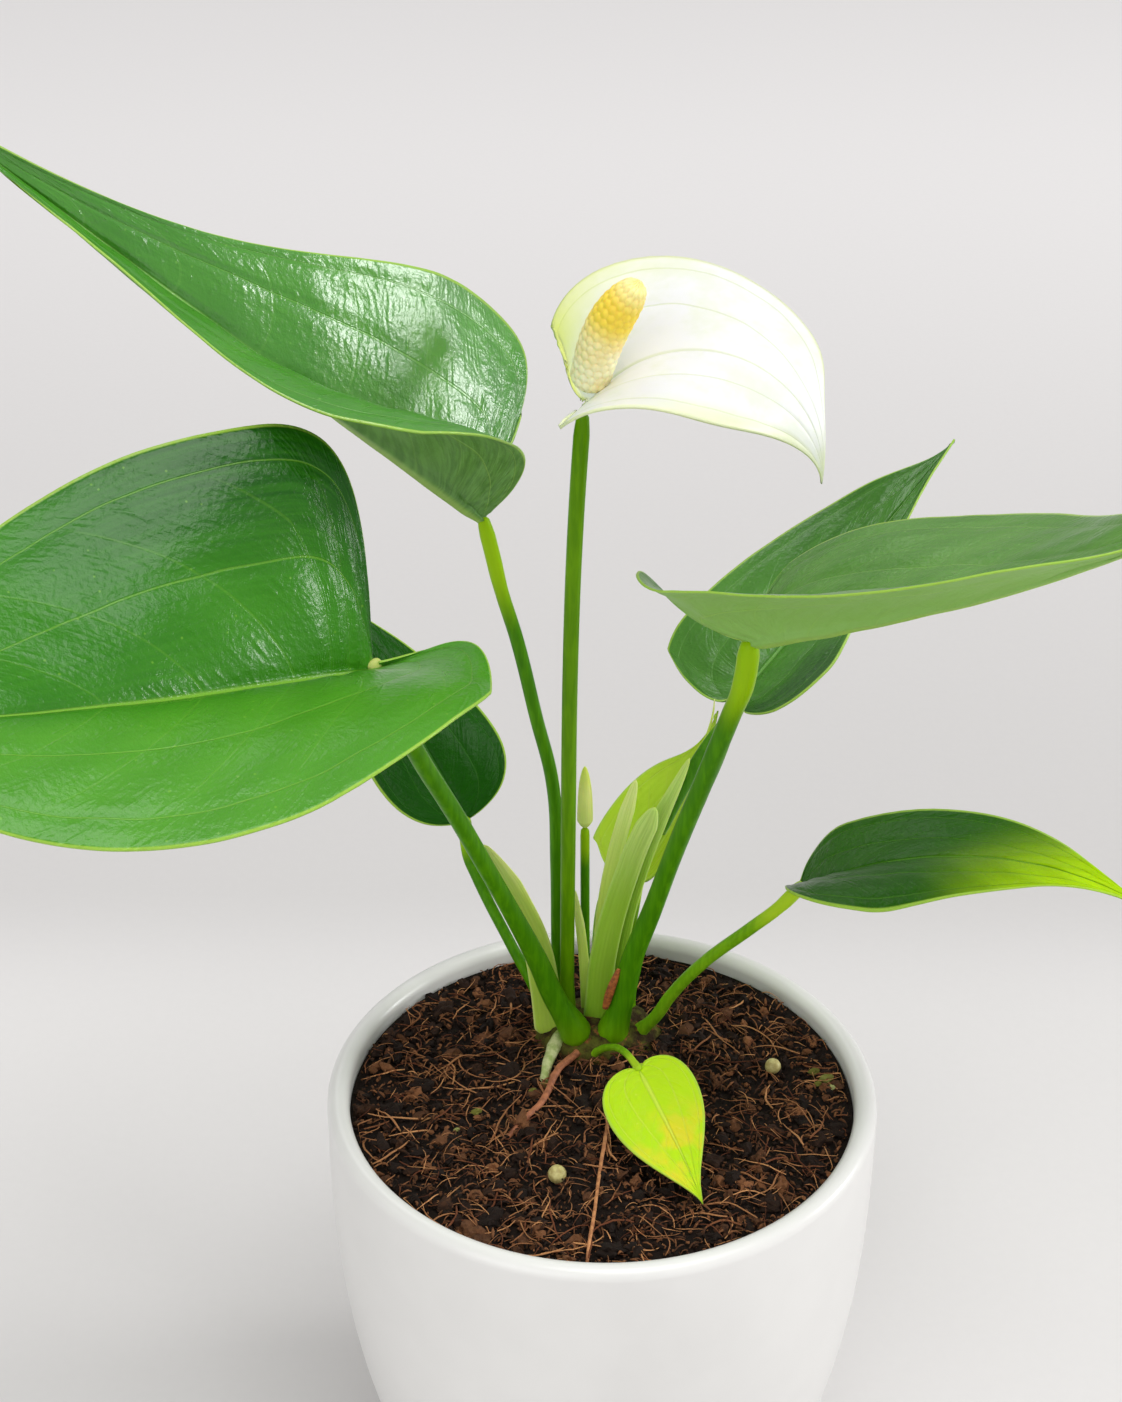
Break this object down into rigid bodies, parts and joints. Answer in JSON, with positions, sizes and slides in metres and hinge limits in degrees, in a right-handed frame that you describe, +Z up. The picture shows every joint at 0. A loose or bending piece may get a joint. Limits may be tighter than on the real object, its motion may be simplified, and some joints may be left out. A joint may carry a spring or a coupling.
{
  "type": "potted anthurium",
  "caption": "Potted flowering anthurium: heart-shaped leaves on long stalks, a white spathe with a golden spadix, and a plain white round cover pot filled with potting mix.",
  "frame": {"origin": "centre of the flat base that the pot stands on", "axes": "+Z up; the flower and the front of the plant look along -Y, +X is to the right as seen from the front"},
  "size_m": [0.2809, 0.2136, 0.3683],
  "materials": {
    "ceramic": "white glazed ceramic, satin",
    "soil": "dark crumbly potting mix",
    "leaf": "glossy green leaf",
    "young_leaf": "soft yellow-green young leaf",
    "stalk": "smooth green stalk",
    "bract": "pale green, slightly translucent",
    "spathe": "waxy white with a yellow-green edge",
    "spadix": "fine golden florets",
    "crown": "brownish green nodes",
    "root": "reddish brown, dull",
    "pellet": "dull cream-yellow"
  },
  "bodies": {
    "root": {"pot": "ceramic", "soil": "soil", "crown": "crown", "root_pale": "bract", "root_brown": "root", "root_thin": "root", "pellet_front": "pellet", "pellet_right": "pellet", "leaf_upper_left": "leaf", "stalk_upper_left": "stalk", "leaf_front_left": "leaf", "stalk_front_left": "stalk", "leaf_back_left": "leaf", "stalk_back_left": "stalk", "leaf_back_right": "leaf", "stalk_back_right": "stalk", "leaf_right": "leaf", "stalk_right": "stalk", "leaf_lower_right": "leaf", "stalk_lower_right": "stalk", "leaf_front_small": "young_leaf", "stalk_front_small": "stalk", "leaf_young": "young_leaf", "stalk_young": "stalk", "flower_stalk": "stalk", "spathe": "spathe", "spadix": "spadix", "bud_stalk": "stalk", "flower_bud": "bract", "bract_front": "bract", "bract_tall": "bract", "bract_right": "bract", "bract_short": "bract", "bract_pale": "bract", "bract_left": "bract"}
  },
  "joints": []
}
